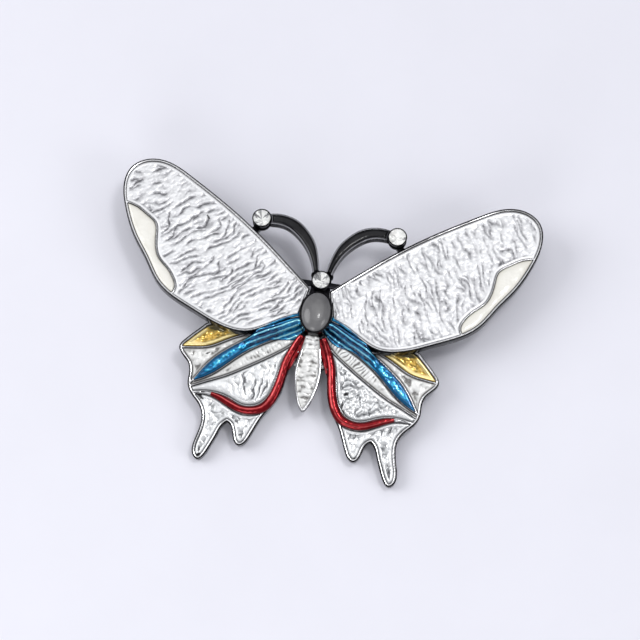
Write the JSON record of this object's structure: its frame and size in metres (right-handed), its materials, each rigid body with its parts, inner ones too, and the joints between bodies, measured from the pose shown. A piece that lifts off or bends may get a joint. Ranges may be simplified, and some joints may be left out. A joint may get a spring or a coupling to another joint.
{
  "type": "brooch",
  "caption": "Butterfly brooch with enamelled wings in dark metal cells, crystal-tipped antennae, an oval cabochon body, and a hinged pin with a turning lock on its back.",
  "frame": {"origin": "middle of the outline on the surface the brooch rests on", "axes": "+Z out of the front, +Y towards the head, +X to the right seen from the front"},
  "size_m": [0.059, 0.041, 0.0083],
  "materials": {
    "dark_plating": "polished gunmetal plating over cast brass",
    "pearl_silver_enamel": "pearl silver, glossy, bark relief",
    "ivory_enamel": "glossy ivory",
    "gold_enamel": "translucent gold, glossy",
    "white_enamel": "pearl white, glossy",
    "blue_enamel": "translucent blue, glossy",
    "silver_grey_enamel": "pearl grey, glossy",
    "red_enamel": "translucent crimson, glossy",
    "black_enamel": "glossy black",
    "crystal": "cut crystal with a foiled back",
    "grey_cabochon": "opaque grey, satin gloss",
    "fitting_metal": "nickel plated, brushed",
    "pin_steel": "drawn and polished wire"
  },
  "bodies": {
    "brooch": {"abdomen_enamel": "white_enamel", "antenna_left": "dark_plating", "antenna_left_cup": "dark_plating", "antenna_left_enamel": "black_enamel", "antenna_left_stone": "crystal", "antenna_right": "dark_plating", "antenna_right_cup": "dark_plating", "antenna_right_enamel": "black_enamel", "antenna_right_stone": "crystal", "back_bar": "fitting_metal", "body_casting": "dark_plating", "cabochon": "grey_cabochon", "cabochon_bezel": "dark_plating", "catch_barrel": "fitting_metal", "forewing_left": "dark_plating", "forewing_left_ivory_inlay": "ivory_enamel", "forewing_left_silver_enamel": "pearl_silver_enamel", "forewing_right": "dark_plating", "forewing_right_ivory_inlay": "ivory_enamel", "forewing_right_silver_enamel": "pearl_silver_enamel", "head_cup": "dark_plating", "head_stone": "crystal", "hindwing_left": "dark_plating", "hindwing_left_blue_leaf": "blue_enamel", "hindwing_left_gold_leaf": "gold_enamel", "hindwing_left_pale_leaf": "white_enamel", "hindwing_left_red_vein": "red_enamel", "hindwing_left_silver_fan": "silver_grey_enamel", "hindwing_left_tail_enamel": "silver_grey_enamel", "hindwing_left_upper_cell": "white_enamel", "hindwing_right": "dark_plating", "hindwing_right_blue_leaf": "blue_enamel", "hindwing_right_gold_leaf": "gold_enamel", "hindwing_right_pale_leaf": "white_enamel", "hindwing_right_red_vein": "red_enamel", "hindwing_right_silver_fan": "silver_grey_enamel", "hindwing_right_tail_enamel": "silver_grey_enamel", "hindwing_right_upper_cell": "white_enamel", "pin_hinge_bracket": "fitting_metal", "pin_hinge_rivet": "fitting_metal", "wing_bridge": "dark_plating"},
    "pin": {"pin_stem": "pin_steel"},
    "lock": {"catch_lock": "fitting_metal"}
  },
  "joints": [
    {"name": "pin_hinge", "type": "hinge", "parent": "brooch", "child": "pin", "pos_m": [-0.0152, 0.00275, 0.0015], "axis": [0, 1, 0], "range_deg": [0, 100]},
    {"name": "catch_lock_turn", "type": "hinge", "parent": "brooch", "child": "lock", "pos_m": [0.0152, 0.00275, 0.0015], "axis": [1, 0, 0], "range_deg": [0, 60]}
  ]
}
